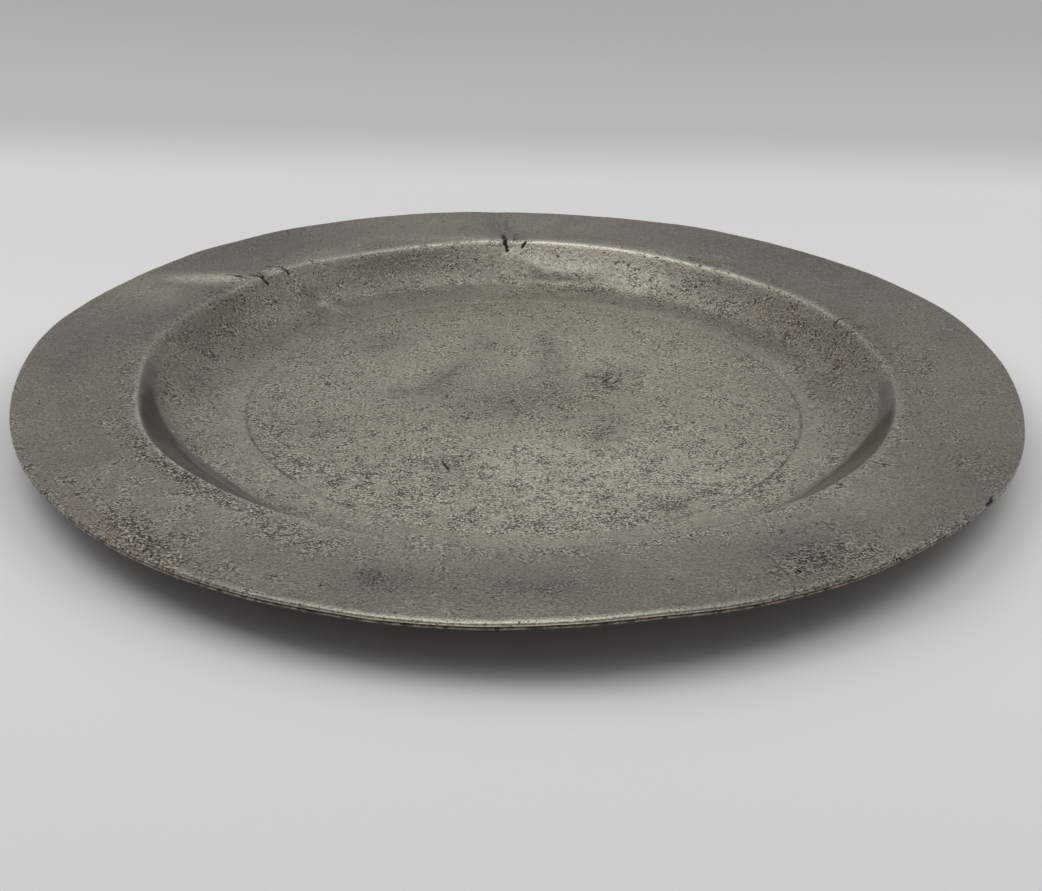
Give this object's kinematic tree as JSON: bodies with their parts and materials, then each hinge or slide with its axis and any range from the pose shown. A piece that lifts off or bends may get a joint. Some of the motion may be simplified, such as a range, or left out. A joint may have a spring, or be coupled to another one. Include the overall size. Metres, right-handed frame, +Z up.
{
  "type": "paten plate",
  "caption": "Shallow round pewter plate with a broad flat rim, a sunken well, a wired edge and old bends and pitting.",
  "frame": {"origin": "centre of the flat underside that the plate rests on", "axes": "+Z up through the centre of the plate; -Y towards the side that faces the viewer"},
  "size_m": [0.2408, 0.2392, 0.0123],
  "materials": {
    "pewter": "dull satin pewter, darkly oxidised and pitted, worn brighter on the edges",
    "wire": "dull satin metal, dirty in the seam, worn bright on its outer line",
    "solder": "matte grey soft solder, slightly lumpy"
  },
  "bodies": {
    "root": {"plate_body": "pewter", "rim_wire": "wire", "solder_fillet": "solder"}
  },
  "joints": []
}
